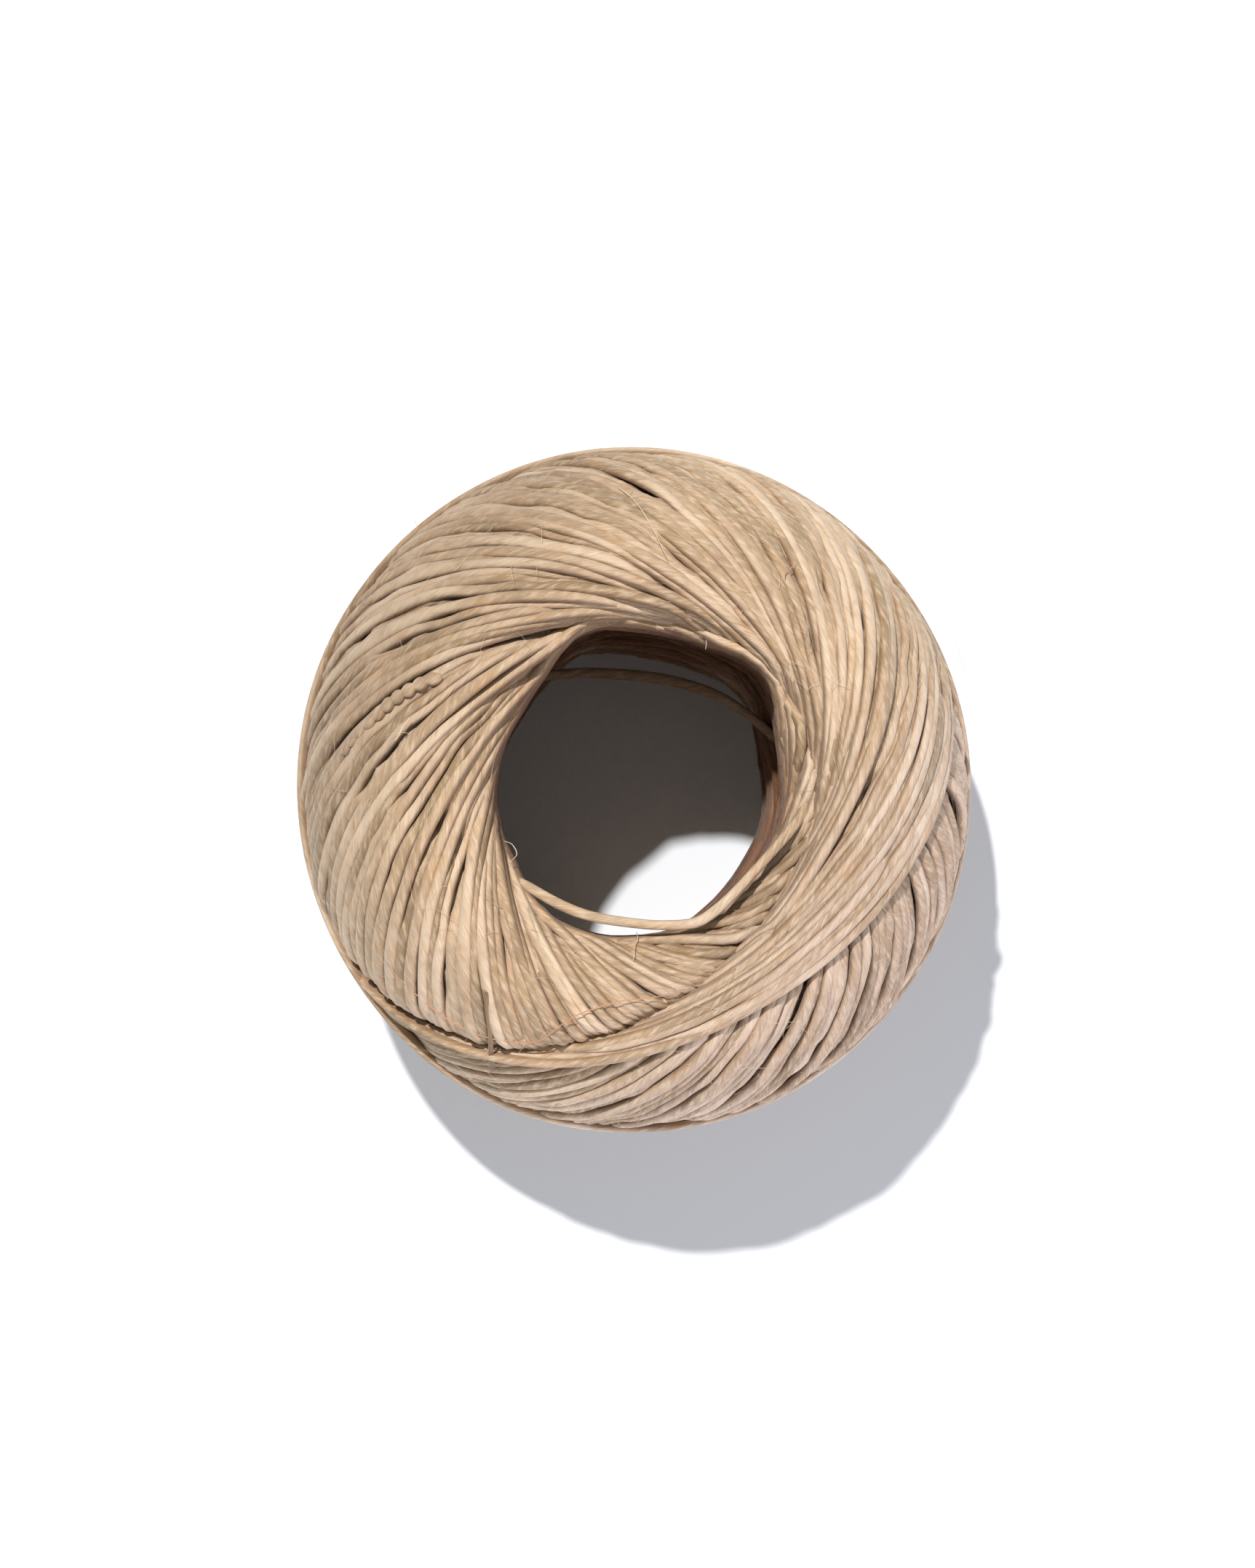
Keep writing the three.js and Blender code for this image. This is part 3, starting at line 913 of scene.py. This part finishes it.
class TWINE_OT_hole_lining(bpy.types.Operator):
    """Lines the hole with the inner turns, where they touch the hole and leave it again"""

    bl_idname = "twine.hole_lining"
    bl_label = "Line the hole"

    LAYERS = 18
    PER_LAYER = 26
    POINTS = 16
    HALF_SPAN = math.radians(46)
    # the layers' radii, from the innermost to how far below the surface the outermost lies
    INNERMOST = 21.5 * MM
    BELOW_SURFACE = 1.6 * MM
    TOUCH_RADIUS = 18 * MM
    UNEVEN = 0.4 * MM
    TOUCH_UNEVEN = 0.3 * MM
    # how near and how far from the axis an arc may pass, as shares of its radius
    REACH_LIMITS = (0.2, 0.985)
    # how far the lining stays off the hole's edge
    CLEARANCE = 0.5 * MM
    SLUB = 0.12
    # how far the lining's upper ends stay below the top of the ball
    COVER = 3.0 * MM
    FOOT = 0.9 * MM

    def execute(self, context):
        """Arcs of great circles, each tilted so that its nearest point to the axis touches the wall.
        walked is the angle along an arc from that point, as in turn_places."""
        sizes = context.scene.ball_sizes
        rng = np.random.default_rng(sizes.seed + 1)
        layer_radius = np.linspace(self.INNERMOST, sizes.waist_radius - self.BELOW_SURFACE, self.LAYERS)
        side, layer, place = np.meshgrid(
            [-1, 1], np.arange(self.LAYERS), np.arange(self.PER_LAYER), indexing="ij")
        side = side.reshape(-1, 1)
        radius = layer_radius[layer.reshape(-1, 1)] + self.UNEVEN * rng.normal(size=(side.size, 1))
        shifted = place.reshape(-1, 1) + rng.uniform(-0.5, 0.5, (side.size, 1))
        touch = FULL_TURN * shifted / self.PER_LAYER
        steep = np.sqrt(np.clip(1 - (self.TOUCH_RADIUS / radius) ** 2, 0, 1))
        belly = wall_belly(centre_height(sizes) + side * radius * steep, sizes)
        uneven = self.TOUCH_UNEVEN * rng.normal(size=radius.shape)
        closest = hole_edge(touch) + belly + self.UNEVEN + uneven
        tilt = np.arccos(np.clip(closest / radius, *self.REACH_LIMITS))
        walked = np.linspace(-self.HALF_SPAN, self.HALF_SPAN, self.POINTS)[None, :]
        bearing = touch + side * np.arctan2(np.sin(walked), np.cos(walked) * np.cos(tilt))
        across = radius * np.sqrt(1 - (np.cos(walked) * np.sin(tilt)) ** 2)
        across = soft_above(across, hole_edge(bearing) + self.CLEARANCE, HOLE_EASE)
        rise = side * radius * np.cos(walked) * np.sin(tilt) * sizes.dome_height / sizes.waist_radius
        height = centre_height(sizes) + rise - lip_drop(across, side, sizes)
        height = soft_above(height, self.FOOT, HOLE_EASE)
        paths = np.stack([across * np.sin(bearing), across * np.cos(bearing), height], -1)
        paths[..., 2] = np.minimum(paths[..., 2], top_height(paths, sizes) - self.COVER)
        inward = np.stack([-np.sin(bearing), -np.cos(bearing), np.zeros_like(bearing)], -1)
        slub = 1 + self.SLUB * rng.normal(size=radius.shape).clip(-1.5, 1.5)
        widths = sizes.twine_width * slub * np.ones_like(across)
        thick = np.full_like(across, sizes.twine_thickness)
        # each arc's V starts at a place of its own
        starts = pattern_start(np.arange(len(paths)))[:, None]
        breaks = np.broadcast_to(-starts, (len(paths), self.POINTS - 1))
        arrays = sweep(paths, inward, widths, thick, 6, breaks)
        new_piece("hole_lining", *arrays, hemp(context.scene))
        return {"FINISHED"}


class TWINE_OT_waist_turns(bpy.types.Operator):
    """Lays the last two turns round the waist"""

    bl_idname = "twine.waist_turns"
    bl_label = "Lay the waist turns"

    POINTS = 300
    # the turns start at this bearing, lie this high over the middle, and tilt by this much
    START = math.radians(130)
    LATITUDE = math.radians(1.2)
    TILT = math.radians(3.2)
    WOBBLE = math.radians(0.5)
    # the bearing of the tilt's highest point, and how far it moves on over the two turns
    HIGH = math.radians(310)
    HIGH_MOVES = math.radians(-60)
    PROUD = 0.15 * MM
    STRAY = 0.1 * MM
    SLUB = 0.14
    # the two ends are tucked in this deep, over this share of a turn
    TUCK_DEPTH = 1.6 * MM
    TUCK_SHARE = 0.04

    def execute(self, context):
        """Two rounds at a latitude that swings with the cosine of the bearing from its highest point."""
        sizes = context.scene.ball_sizes
        rng = np.random.default_rng(sizes.seed + 2)
        share = np.linspace(0, 2, 2 * self.POINTS)
        bearing = FULL_TURN * share + self.START
        high = self.HIGH + self.HIGH_MOVES * share / 2
        swing = self.TILT * np.cos(bearing - high)
        latitude = self.LATITUDE + swing + self.WOBBLE * wander(rng, share.size, 30)
        directions = np.stack([
            np.cos(latitude) * np.sin(bearing), np.cos(latitude) * np.cos(bearing), np.sin(latitude)], -1)
        offset = np.full(share.size, self.PROUD) + self.STRAY * wander(rng, share.size, 20)
        tuck = np.minimum(share, 2 - share) / self.TUCK_SHARE
        offset = offset - self.TUCK_DEPTH * (1 - np.clip(tuck, 0, 1)) ** 2
        path = place_on_ball(directions, offset, sizes)
        width = sizes.twine_width * (1 + self.SLUB * wander(rng, share.size, 12)).clip(0.75, 1.5)
        thick = np.full(share.size, sizes.twine_thickness)
        arrays = sweep(path[None], ball_normals(path, sizes)[None], width[None], thick[None], 10)
        new_piece("waist_turns", *arrays, hemp(context.scene))
        return {"FINISHED"}


def route_points(route, count):
    """A smooth run of count points through a route's points: a Catmull-Rom spline, in metres."""
    knots = np.array(route) * MM
    padded = np.concatenate([[2 * knots[0] - knots[1]], knots, [2 * knots[-1] - knots[-2]]])
    place = np.linspace(0, len(knots) - 1, count)
    index = np.minimum(place.astype(int), len(knots) - 2)
    t = (place - index)[:, None]
    a, b, c, d = padded[index], padded[index + 1], padded[index + 2], padded[index + 3]
    bend = 2 * a - 5 * b + 4 * c - d
    twist = 3 * b - a - 3 * c + d
    return 0.5 * (2 * b + (c - a) * t + bend * t ** 2 + twist * t ** 3)


class TWINE_OT_slack_turns(bpy.types.Operator):
    """Hangs the two slack turns across the hole"""

    bl_idname = "twine.slack_turns"
    bl_label = "Hang the slack turns"

    POINTS = 82
    DIAMETER = 1.2 * MM
    SLUB = 0.07
    FLATTENED = 0.9
    # how much of the painted shade of the hole's wall they take: hanging free, they take less of it than
    # the wall
    SHADE = 0.35

    def execute(self, context):
        sizes = context.scene.ball_sizes
        rng = np.random.default_rng(sizes.seed + 3)
        material = hemp(context.scene, "slack_hemp", self.SHADE)
        for name, replaced, route in (
                ("slack_twine_far", "slack_turn_far", FAR_TURN_ROUTE),
                ("slack_twine_near", "slack_turn_near", NEAR_TURN_ROUTE)):
            path = route_points(route, self.POINTS)
            width = self.DIAMETER * (1 + self.SLUB * wander(rng, self.POINTS, 9))
            up = np.broadcast_to([0.0, 0.0, 1.0], path.shape)
            arrays = sweep(path[None], up[None], width[None], self.FLATTENED * width[None], 12)
            piece = new_piece(name, *arrays, material)
            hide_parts(replaced)
        return {"FINISHED"}


class TWINE_OT_serrated_turn(bpy.types.Operator):
    """Lays the short run of twine whose plies stand out like teeth"""

    bl_idname = "twine.serrated_turn"
    bl_label = "Lay the serrated turn"

    POINTS = 160
    TOOTH = 1.6 * MM
    # how far its middle lies under the top of the ball, and how much deeper its two ends dip
    SUNK = 0.12 * MM
    DIP = 0.9 * MM
    # its width and thickness at a notch, and how much more they are at a tooth
    NARROW = 1.0 * MM
    WIDER = 0.85 * MM
    THIN = 1.05 * MM
    THICKER = 0.2 * MM

    def execute(self, context):
        """The route laid on the ball. Its width and thickness follow the sine of the way along it, once
        for each tooth, always positive, so the teeth are round and the notches sharp."""
        sizes = context.scene.ball_sizes
        path = route_points(SERRATED_ROUTE, self.POINTS)
        along = np.concatenate([[0], np.cumsum(np.linalg.norm(np.diff(path, axis=0), axis=1))])
        share = np.linspace(0, 1, self.POINTS)
        dip = self.SUNK + self.DIP * np.abs(2 * share - 1) ** 6
        path[:, 2] = top_height(path, sizes)
        path = path - dip[:, None] * ball_normals(path, sizes)
        teeth = np.abs(np.sin(math.pi * along / self.TOOTH)) ** 0.7
        width = self.NARROW + self.WIDER * teeth
        thick = self.THIN + self.THICKER * teeth
        arrays = sweep(path[None], ball_normals(path, sizes)[None], width[None], thick[None], 12)
        new_piece("serrated_turn", *arrays, hemp(context.scene))
        return {"FINISHED"}


class TWINE_OT_stray_fibres(bpy.types.Operator):
    """Scatters short fuzz over the ball and adds the long loose fibres and the wisp"""

    bl_idname = "twine.stray_fibres"
    bl_label = "Add stray fibres"

    STEPS = 24
    FUZZ_COUNT = 620
    FUZZ_STEPS = 7
    # between which heights on a unit ball a short fibre starts and, in millimetres, between which
    # limits its length, its thickness and the lift of its loose end lie
    FUZZ_HEIGHTS = (-0.75, 0.95)
    FUZZ_LENGTHS = (1.2, 4.5)
    FUZZ_WIDTHS = (0.035, 0.075)
    FUZZ_LIFTS = (0.0, 0.9)
    FUZZ_CURL = 0.35
    FUZZ_OFF_TWINE = 0.08 * MM
    WISP_FIBRES = 12
    # how far above the ball a long fibre's middle may lie
    HIGHEST = 0.9 * MM

    def execute(self, context):
        sizes = context.scene.ball_sizes
        rng = np.random.default_rng(sizes.seed + 4)
        colours = context.scene.ball_colours
        pale = plain_fibre("pale_loose_fibre", linear(colours.fuzz))
        bark = plain_fibre("bark_fibre", linear(colours.bark_fibre))
        brown = plain_fibre("brown_wisp_fibre", linear(colours.wisp))
        self.scatter(sizes, rng, pale)
        for name, fibres, material in (
                ("long_fibres", PALE_FIBRES, pale),
                ("bark_fibres", BARK_FIBRES, bark)):
            paths = np.stack([route_points(fibre["route"], self.STEPS) for fibre in fibres])
            paths[..., 2] = np.minimum(paths[..., 2], top_height(paths, sizes) + self.HIGHEST)
            width = np.array([fibre["width"] for fibre in fibres])[:, None] * MM
            taper = np.sin(math.pi * np.linspace(0.12, 0.93, self.STEPS))[None, :] ** 0.5
            up = np.broadcast_to([0.0, 0.0, 1.0], paths.shape)
            arrays = sweep(paths, up, width * taper, width * taper, 5)
            new_piece(name, *arrays, material)
        self.wisp(sizes, rng, brown)
        return {"FINISHED"}

    def scatter(self, sizes, rng, material):
        """Short fibres that lift off the turns: each is an arc over the ball that starts on the surface
        and rises with the square of the way along it."""
        height_share = rng.uniform(*self.FUZZ_HEIGHTS, self.FUZZ_COUNT)
        bearing = rng.uniform(0, FULL_TURN, self.FUZZ_COUNT)
        flat = np.sqrt(1 - height_share ** 2)
        start = np.stack([flat * np.sin(bearing), flat * np.cos(bearing), height_share], -1)
        east = unit(np.cross([0.0, 0.0, 1.0], start))
        north = np.cross(start, east)
        heading = rng.uniform(0, FULL_TURN, self.FUZZ_COUNT)[:, None]
        toward = np.cos(heading) * east + np.sin(heading) * north
        aside = np.cross(start, toward)
        share = np.linspace(0, 1, self.FUZZ_STEPS)[None, :, None]
        length = rng.uniform(*self.FUZZ_LENGTHS, self.FUZZ_COUNT)[:, None, None] * MM / sizes.waist_radius
        curl = rng.normal(0, self.FUZZ_CURL, self.FUZZ_COUNT)[:, None, None]
        run = share * toward[:, None] + curl * share ** 2 * aside[:, None]
        directions = unit(start[:, None] + length * run)
        lifted = rng.uniform(*self.FUZZ_LIFTS, self.FUZZ_COUNT)[:, None] * MM
        paths = place_on_ball(directions, self.FUZZ_OFF_TWINE + lifted * share[..., 0] ** 2, sizes)
        width = rng.uniform(*self.FUZZ_WIDTHS, self.FUZZ_COUNT)[:, None] * MM * (1 - 0.7 * share[..., 0])
        arrays = sweep(paths, ball_normals(paths, sizes), width, width, 3)
        new_piece("fuzz", *arrays, material)

    def wisp(self, sizes, rng, material):
        """A dozen fibres side by side along one route, close together in the middle."""
        count = self.WISP_FIBRES
        middle = route_points(WISP_ROUTE, self.STEPS)
        middle[:, 2] = np.minimum(middle[:, 2], top_height(middle, sizes) + self.HIGHEST)
        share = np.linspace(0, 1, self.STEPS)
        spread_out = (0.16 + 0.5 * np.abs(share - 0.45) ** 1.5)[None, :] * MM
        aside = rng.normal(0, 1, count)[:, None] * spread_out
        lift = rng.uniform(0, 0.35, count)[:, None] * MM * np.ones_like(share)
        paths = middle[None] + np.stack([aside, 0 * aside, lift], -1)
        taper = np.sin(math.pi * np.linspace(0.1, 0.95, self.STEPS))
        width = rng.uniform(0.1, 0.2, count)[:, None] * MM * taper
        up = np.broadcast_to([0.0, 0.0, 1.0], paths.shape)
        arrays = sweep(paths, up, width, width, 4)
        new_piece("brown_wisp", *arrays, material)


class TWINE_OT_stage(bpy.types.Operator):
    """Sets the white floor, the lamp, the soft surrounding light and the camera"""

    bl_idname = "twine.stage"
    bl_label = "Set the stage"

    CAMERA_DISTANCE = 570 * MM
    # how far the camera leans off the plumb line, as shares of its height
    LEAN_X = -0.035
    LEAN_Y = -0.035
    SENSOR_HEIGHT = 24.0
    FLOOR_HALF = 1.5
    # the sunlight's way: sideways for each metre down
    LAMP_WAY = (0.45 * 0.49, -0.893 * 0.49)

    def execute(self, context):
        scene = context.scene
        middle = Vector((0, 0, centre_height(scene.ball_sizes)))
        self.place_camera(scene, middle)
        self.lay_paper(scene)
        self.light(scene, middle)
        scene.view_settings.view_transform = "Standard"
        return {"FINISHED"}

    def place_camera(self, scene, middle):
        """A lens that shows the photograph's height at the ball's middle, aimed so that the middle
        comes out where the photograph has it."""
        camera_data = bpy.data.cameras.new("camera")
        camera = bpy.data.objects.new("camera", camera_data)
        scene.collection.objects.link(camera)
        back = Vector((self.LEAN_X, self.LEAN_Y, 1)).normalized()
        aim = middle + Vector((
            (PHOTO_WIDTH / 2 - BALL_PIXEL_X) / PHOTO_PIXELS_PER_MM * MM,
            (BALL_PIXEL_Y - PHOTO_HEIGHT / 2) / PHOTO_PIXELS_PER_MM * MM, 0))
        camera.location = aim + back * self.CAMERA_DISTANCE
        right = Vector((0, 1, 0)).cross(back).normalized()
        camera.rotation_euler = Matrix((right, back.cross(right), back)).transposed().to_euler()
        camera_data.sensor_fit = "VERTICAL"
        camera_data.sensor_height = self.SENSOR_HEIGHT
        view_height = PHOTO_HEIGHT / PHOTO_PIXELS_PER_MM * MM
        camera_data.lens = self.SENSOR_HEIGHT * self.CAMERA_DISTANCE / view_height
        camera_data.clip_start = 0.01
        scene.camera = camera

    def lay_paper(self, scene):
        """The sheet of matt white paper that the ball stands on."""
        half = self.FLOOR_HALF
        floor_mesh = bpy.data.meshes.new("floor")
        floor_mesh.from_pydata(
            [(-half, -half, 0), (half, -half, 0), (half, half, 0), (-half, half, 0)], [], [(0, 1, 2, 3)])
        floor = bpy.data.objects.new("floor", floor_mesh)
        scene.collection.objects.link(floor)
        paper = bpy.data.materials.new("white_paper")
        paper.use_nodes = True
        shader = paper.node_tree.nodes["Principled BSDF"]
        shader.inputs["Base Color"].default_value = (0.82, 0.85, 0.895, 1)
        shader.inputs["Roughness"].default_value = 0.9
        floor_mesh.materials.append(paper)

    def light(self, scene, middle):
        """A hard lamp high on the far left, a weak soft light across from it, and an even light all
        round."""
        fill_data = bpy.data.lights.new("fill", "AREA")
        fill_data.shape = "DISK"
        fill_data.size = 0.5
        fill_data.energy = 2.4
        fill_data.color = (1.01, 0.96, 1.08)
        fill = bpy.data.objects.new("fill", fill_data)
        scene.collection.objects.link(fill)
        fill.location = (0.31, -0.47, 0.20)
        fill.rotation_euler = (middle - fill.location).to_track_quat("-Z", "Y").to_euler()

        lamp_data = bpy.data.lights.new("lamp", "SUN")
        lamp_data.energy = 3.75
        lamp_data.angle = math.radians(1.8)
        lamp_data.color = (1.0, 0.985, 0.96)
        lamp = bpy.data.objects.new("lamp", lamp_data)
        scene.collection.objects.link(lamp)
        ray = Vector((*self.LAMP_WAY, -1.0)).normalized()
        lamp.rotation_euler = ray.to_track_quat("-Z", "Y").to_euler()

        world = bpy.data.worlds.new("studio")
        scene.world = world
        world.use_nodes = True
        background = world.node_tree.nodes["Background"]
        background.inputs["Color"].default_value = (0.87, 0.97, 0.95, 1)
        background.inputs["Strength"].default_value = 0.355


class TWINE_PT_panel(bpy.types.Panel):
    """Lists the steps of the ball"""

    bl_label = "Ball of twine"
    bl_idname = "TWINE_PT_panel"
    bl_space_type = "VIEW_3D"
    bl_region_type = "UI"
    bl_category = "Twine"

    def draw(self, context):
        for step in STEPS:
            self.layout.operator(step.bl_idname)
        for group in (context.scene.ball_sizes, context.scene.ball_colours):
            for key in group.__annotations__:
                self.layout.prop(group, key)


STEPS = (
    TWINE_OT_stage,
    TWINE_OT_slack_turns,
    TWINE_OT_heart,
    TWINE_OT_turns,
    TWINE_OT_hole_lining,
    TWINE_OT_waist_turns,
    TWINE_OT_serrated_turn,
    TWINE_OT_stray_fibres,
)
CLASSES = (BallSizes, BallColours, *STEPS, TWINE_PT_panel)


def register():
    """Registers the classes and hangs the two groups of settings on the scene."""
    for made in CLASSES:
        bpy.utils.register_class(made)
    bpy.types.Scene.ball_sizes = bpy.props.PointerProperty(type=BallSizes)
    bpy.types.Scene.ball_colours = bpy.props.PointerProperty(type=BallColours)


def unregister():
    """Undoes register."""
    del bpy.types.Scene.ball_sizes
    del bpy.types.Scene.ball_colours
    for made in reversed(CLASSES):
        bpy.utils.unregister_class(made)


def main():
    """Makes the ball step by step."""
    register()
    for step in STEPS:
        group, name = step.bl_idname.split(".")
        getattr(getattr(bpy.ops, group), name)()


if __name__ == "__main__":
    main()
